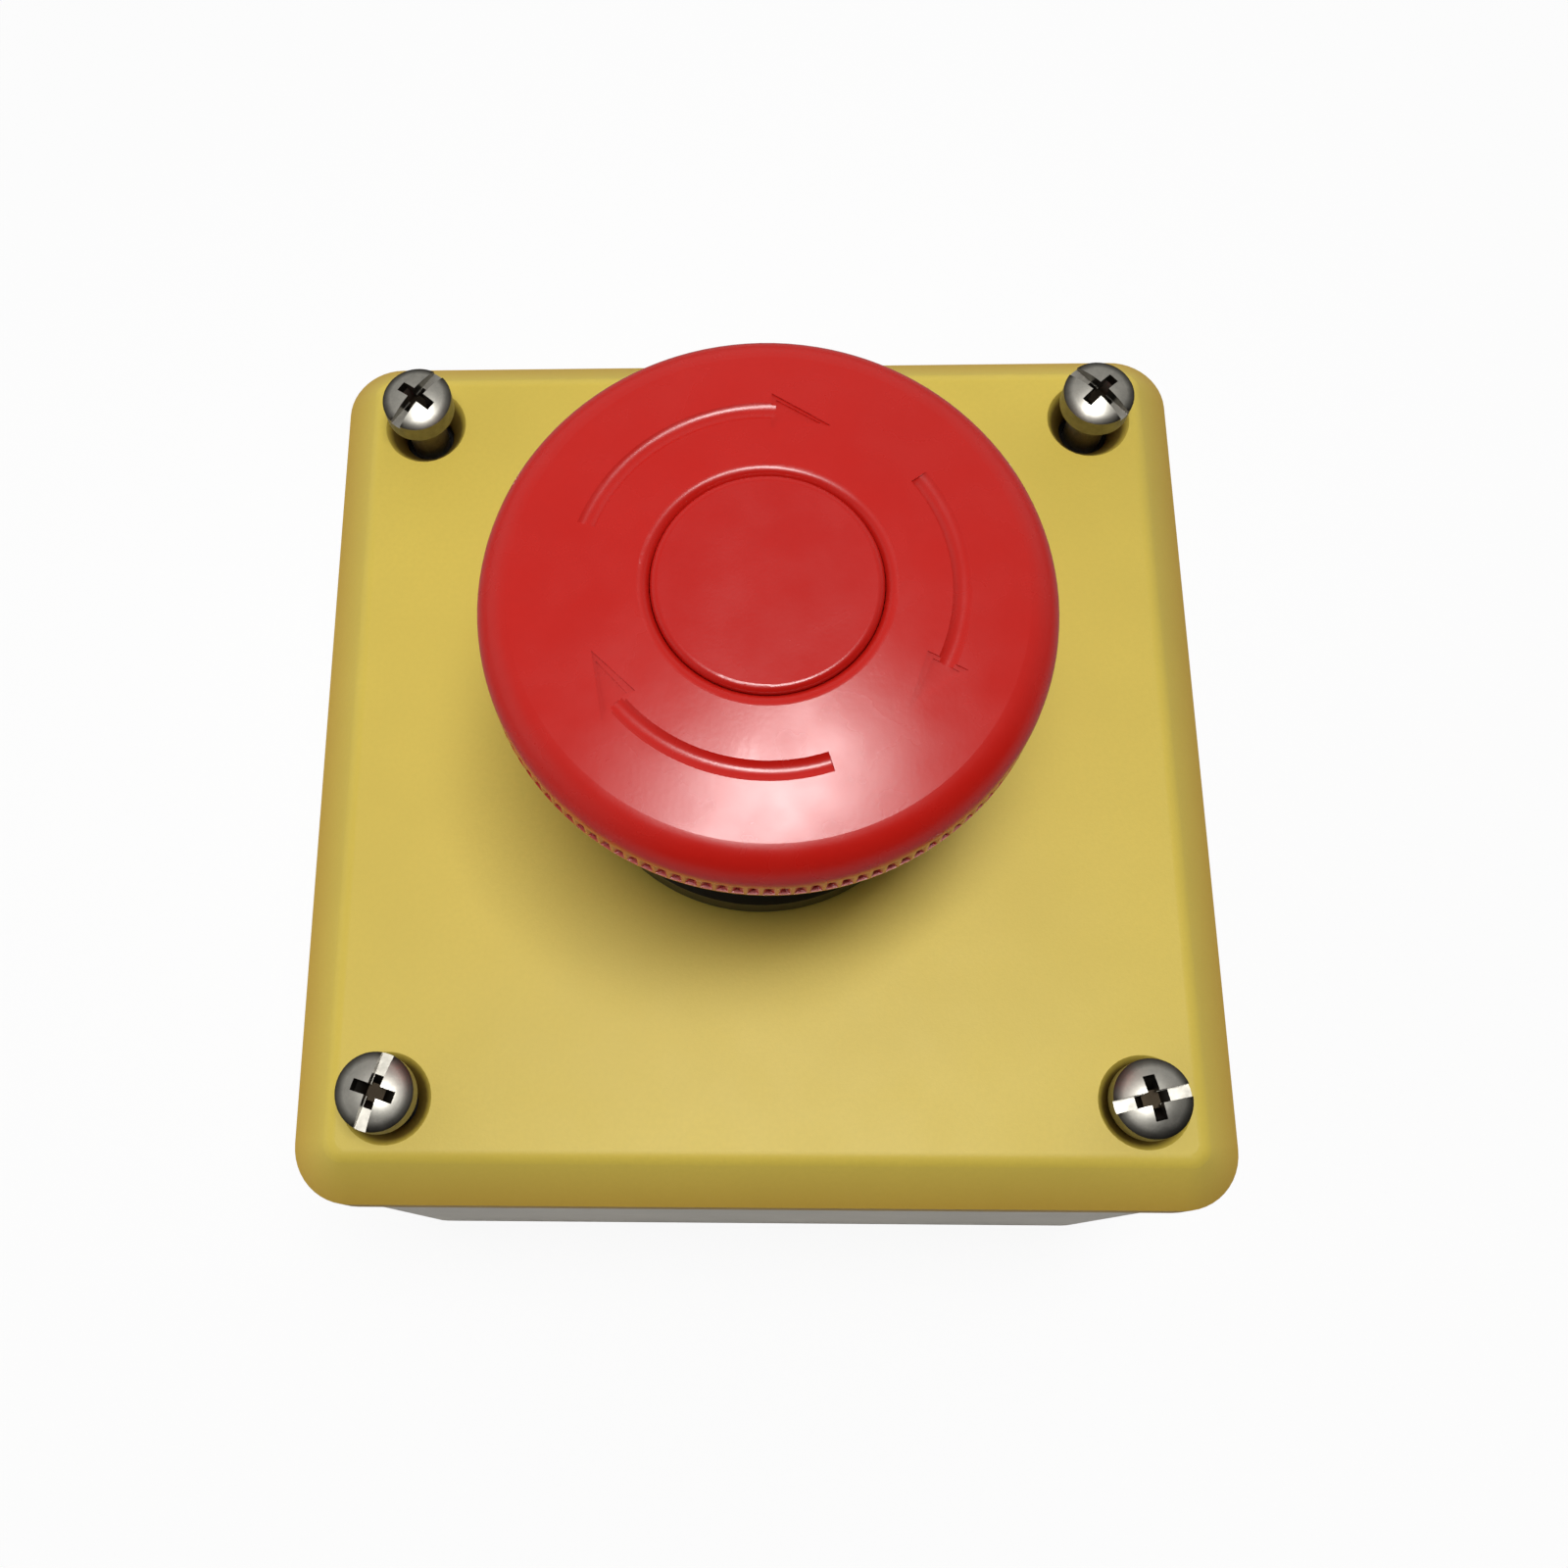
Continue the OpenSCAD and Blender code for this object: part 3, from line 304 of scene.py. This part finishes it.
def metal(name, colour, roughness=0.25, drawn=(1, 1, 1), stain=0.12, scratch=0.15 * MM):
    """Bare or plated metal: fine lines along drawn, uneven gloss and light stains."""
    material, tree, shader, place = new_material(name)
    stretched = put(tree, "ShaderNodeMapping", {"Vector": place, "Scale": drawn}).outputs[0]
    lines = noise(tree, stretched, scratch, detail=3.0, rough=0.6)
    stains = noise(tree, place, STAIN_W, detail=5.0, rough=0.6)
    stained = spread(tree, stains, 0.0, 1.0, *STAIN_RANGE)
    gloss = math_node(tree, "ADD", spread(tree, stains, *STAIN_ROUGHNESS),
                      spread(tree, lines, roughness, roughness + LINE_ROUGHNESS))
    fill(tree, shader, {
        "Base Color": blend_colours(tree, stained, colour, scaled(colour, 1 - stain)),
        "Metallic": 1.0,
        "Roughness": gloss,
        "Normal": bump(tree, lines, LINE_DEPTH, LINE_STRENGTH),
    })
    return material


def shade_painted_lid(material):
    """Paints shade into the lid's colour: darker down its slanted edges, and more in its screw
    holes.
    """
    tree = material.node_tree
    shader = next(node for node in tree.nodes if node.type == "BSDF_PRINCIPLED")
    unshaded_tone = shader.inputs["Base Color"].links[0].from_socket
    place = object_place(tree)
    height = part_of(tree, place, "Z")
    # Painted shade: the lid's colour turns darker and browner down its slanted edges and below
    # them.
    edge = spread(tree, height, EDGE_PAINTED_SHADE, 0.0, LID_TOP - EDGE_H, LID_TOP)
    edge_shaded = blend_colours(tree, edge, unshaded_tone, rgb(*EDGE_SHADE_BROWN))
    # Painted shadow: inside each screw hole, below the lid's top, the colour turns dark brown
    # where the heads shade it.
    squares = []
    for axis in "XY":
        away = math_node(tree, "ABSOLUTE", part_of(tree, place, axis))
        away = math_node(tree, "SUBTRACT", away, SCREW_AT)
        squares.append(math_node(tree, "MULTIPLY", away, away))
    radius = math_node(tree, "SQRT", math_node(tree, "ADD", *squares))
    inside = spread(tree, radius, HOLE_PAINTED_SHADE, 0.0, HOLE_R, HOLE_R + HOLE_BLUR)
    below = spread(tree, height, 1.0, 0.0, LID_TOP - HOLE_SHADED_FROM, LID_TOP - HOLE_UNSHADED_TO)
    share = math_node(tree, "MULTIPLY", inside, below)
    tone = blend_colours(tree, share, edge_shaded, rgb(*HOLE_SHADE_BROWN))
    fill(tree, shader, {"Base Color": tone})
    return material


def screw_head(name, node):
    """Plated screw with painted light and shade: light on its top, its slot's floor and its
    shank, painted shade on its shoulder and in its recess, and between the two on its head's
    side."""
    material, tree, shader, place = new_material(name)
    top = max(vertex.co.z for vertex in node.data.vertices)
    height = part_of(tree, place, "Z")
    level = part_of(tree, put(tree, "ShaderNodeNewGeometry").outputs["Normal"], "Z")
    # Painted light and shade: the recess, the steep shoulder and the head's side take a darker
    # plating colour, and the top and shank a light one.
    open_top = spread(tree, height, 0.0, 1.0, top - RECESS_DARK, top - RECESS_LIGHT)
    flat = spread(tree, level, SHOULDER_TONE, 1.0, SHOULDER_DARK, SHOULDER_LIGHT)
    side = spread(tree, level, SIDE_TONE, 0.0, 0.0, SIDE_END)
    shank = spread(tree, height, 1.0, 0.0, top - HEAD_H - HEAD_BLUR, top - HEAD_H)
    lit = math_node(tree, "MULTIPLY", flat, open_top)
    lit = math_node(tree, "MAXIMUM", math_node(tree, "MAXIMUM", lit, side), shank)
    stains = noise(tree, place, HEAD_STAIN_W, detail=5.0, rough=0.65)
    lines = noise(tree, place, HEAD_LINE_W, detail=3.0, rough=0.6)
    painted_shade_and_stains = math_node(tree, "MULTIPLY", lit,
                     spread(tree, stains, 1.0, HEAD_STAIN_TONE, *HEAD_STAIN_RANGE))
    gloss = math_node(tree, "ADD", spread(tree, stains, *HEAD_ROUGHNESS),
                      spread(tree, lines, *HEAD_LINE_ROUGHNESS))
    fill(tree, shader, {
        "Base Color": blend_colours(tree, painted_shade_and_stains, rgb(*PLATING_PAINTED_SHADE), rgb(*PLATING_LIGHT)),
        "Metallic": 1.0,
        "Roughness": gloss,
        "Normal": bump(tree, lines, LINE_DEPTH, LINE_STRENGTH),
    })
    return material


FINISHES = {
    "lid_plastic": shade_painted_lid(moulded("lid_plastic", rgb(214, 190, 80), roughness=0.45,
                                      mottle=0.035, specular=0.35, swell=0.4, patchy=0.012)),
    "base_plastic": moulded("base_plastic", rgb(222, 216, 204), roughness=0.5),
    "red_plastic": moulded("red_plastic", rgb(191, 28, 20), roughness=0.26, grain=0.3 * MM,
                           depth=0.004 * MM, mottle=0.03, swell=0.5),
    "plug_plastic": moulded("plug_plastic", rgb(188, 26, 19), roughness=0.26,
                            depth=0.005 * MM, mottle=0.03, swell=0.6),
    "black_plastic": moulded("black_plastic", rgb(26, 25, 25), roughness=0.42),
    "white_plastic": moulded("white_plastic", rgb(226, 224, 216)),
    "nc_plastic": moulded("nc_plastic", rgb(150, 34, 30)),
    "nc_plastic_mover": moulded("nc_plastic_mover", rgb(164, 40, 34), roughness=0.36),
    "no_plastic": moulded("no_plastic", rgb(40, 118, 68)),
    "no_plastic_mover": moulded("no_plastic_mover", rgb(48, 132, 78), roughness=0.36),
    "seal_rubber": rubber("seal_rubber", rgb(40, 40, 40)),
    "zinc_steel": metal("zinc_steel", rgb(196, 196, 190), roughness=0.28),
    "spring_steel": metal("spring_steel", rgb(176, 176, 174), roughness=0.3,
                          drawn=(0.3, 0.3, 1)),
    "ball_steel": metal("ball_steel", rgb(214, 214, 214), roughness=0.1, stain=0.04),
    "contact_brass": metal("contact_brass", rgb(214, 180, 104), roughness=0.28,
                           drawn=(0.2, 1, 1)),
}


def dress(part):
    """Gives a CAD node its finish. Each cover screw has its own, set by its height."""
    node = frame["nodes"][part["node"]]
    if part["material_slot"] == "screw_steel":
        finish = screw_head(part["node"], node)
    else:
        finish = FINISHES[part["material_slot"]]
    for index in range(len(node.data.materials)):
        node.data.materials[index] = finish


def make_spring(name):
    """A copy of the coil, fixed to the enclosure, in place of the stiff CAD one, which it hides.
    """
    coil = bpy.data.objects.new(name + "_coil", frame["nodes"][name].data.copy())
    bpy.context.scene.collection.objects.link(coil)
    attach(coil, "enclosure")
    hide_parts(name)
    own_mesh(coil)


def make_camera():
    """The camera at the photograph's angle."""
    forward = Vector((math.sin(CAMERA_ASIDE) * math.cos(CAMERA_DOWN),
                      math.cos(CAMERA_ASIDE) * math.cos(CAMERA_DOWN),
                      -math.sin(CAMERA_DOWN)))
    level = Vector((math.cos(CAMERA_ASIDE), -math.sin(CAMERA_ASIDE), 0))
    upright = level.cross(forward)
    right = level * math.cos(CAMERA_ROLL) + upright * math.sin(CAMERA_ROLL)
    up = upright * math.cos(CAMERA_ROLL) - level * math.sin(CAMERA_ROLL)
    data = bpy.data.cameras.new("camera")
    data.sensor_width = CAMERA_SENSOR
    data.lens = CAMERA_LENS
    data.shift_x, data.shift_y = CAMERA_SHIFT
    data.clip_start = CAMERA_CLIP
    camera = bpy.data.objects.new("camera", data)
    turn = Matrix((right, up, -forward)).transposed().to_4x4()
    camera.matrix_world = Matrix.Translation(CAMERA_AT) @ turn
    bpy.context.scene.collection.objects.link(camera)
    bpy.context.scene.camera = camera


def make_lamp():
    """A rectangular lamp overhead whose face has the given brightness."""
    data = bpy.data.lights.new("softbox", "AREA")
    data.shape = "RECTANGLE"
    data.size, data.size_y = SOFTBOX_SIZE
    data.energy = SOFTBOX_BRIGHTNESS * math.pi * SOFTBOX_SIZE[0] * SOFTBOX_SIZE[1]
    lamp = bpy.data.objects.new("softbox", data)
    lamp.location = SOFTBOX_AT
    lamp.rotation_mode = "QUATERNION"
    lamp.rotation_quaternion = (SOFTBOX_AIM - SOFTBOX_AT).to_track_quat("-Z", "Y")
    bpy.context.scene.collection.objects.link(lamp)


def ray_kinds(tree):
    """Two outputs: 1 for rays straight from the camera, and 1 for mirrored and refracted rays."""
    path = put(tree, "ShaderNodeLightPath").outputs
    bounced = math_node(tree, "MAXIMUM", path["Is Glossy Ray"], path["Is Transmission Ray"])
    return path["Is Camera Ray"], bounced


def make_world():
    """White behind the object; light and reflections see the studio's walls and ceiling."""
    world = bpy.data.worlds.new("studio")
    tree = empty_tree(world)
    seen, mirrored = ray_kinds(tree)
    direction = put(tree, "ShaderNodeTexCoord").outputs["Generated"]
    walls = spread(tree, part_of(tree, direction, "Z"), HORIZON, CEILING,
                   HORIZON_TOP, CEILING_START)
    walls = blend_numbers(tree, mirrored, walls, MIRRORED)
    towards = put(tree, "ShaderNodeVectorMath", {0: direction, 1: PALE_SIDE},
                  operation="DOT_PRODUCT").outputs["Value"]
    studio = math_node(tree, "MULTIPLY", walls,
                       spread(tree, towards, 0.0, 1.0, DARK_FROM, DARK_TO))
    strength = math_node(tree, "MAXIMUM", studio, seen)
    glow = put(tree, "ShaderNodeBackground", {"Color": WHITE, "Strength": strength})
    put(tree, "ShaderNodeOutputWorld", {"Surface": glow.outputs[0]})
    bpy.context.scene.world = world


def make_floor():
    """A pale floor that shows white with a soft shadow. Reflections see it dimmed."""
    mesh = bpy.data.meshes.new("floor")
    low = CAD_BOX[0].z - FLOOR_DROP
    corners = [(x * FLOOR_HALF, y * FLOOR_HALF, low)
               for x, y in ((-1, -1), (1, -1), (1, 1), (-1, 1))]
    mesh.from_pydata(corners, [], [(0, 1, 2, 3)])
    floor = bpy.data.objects.new("floor", mesh)
    bpy.context.scene.collection.objects.link(floor)
    material = bpy.data.materials.new("floor")
    tree = empty_tree(material)
    seen, mirrored = ray_kinds(tree)
    card = put(tree, "ShaderNodeBsdfDiffuse", {"Color": FLOOR_GREY})
    glow = put(tree, "ShaderNodeEmission", {"Color": WHITE, "Strength": seen})
    share = math_node(tree, "ADD", math_node(tree, "MULTIPLY", seen, 1 - FLOOR_SHADE),
                      math_node(tree, "MULTIPLY", mirrored, 1 - MIRRORED))
    mixed = put(tree, "ShaderNodeMixShader",
                {0: share, 1: card.outputs[0], 2: glow.outputs[0]})
    put(tree, "ShaderNodeOutputMaterial", {"Surface": mixed.outputs[0]})
    mesh.materials.append(material)


for part in frame["record"]["subparts"]:
    dress(part)
    if part["node"] in SPRINGS:
        make_spring(part["node"])
make_camera()
make_lamp()
make_world()
make_floor()
bpy.context.scene.view_settings.view_transform = "Standard"
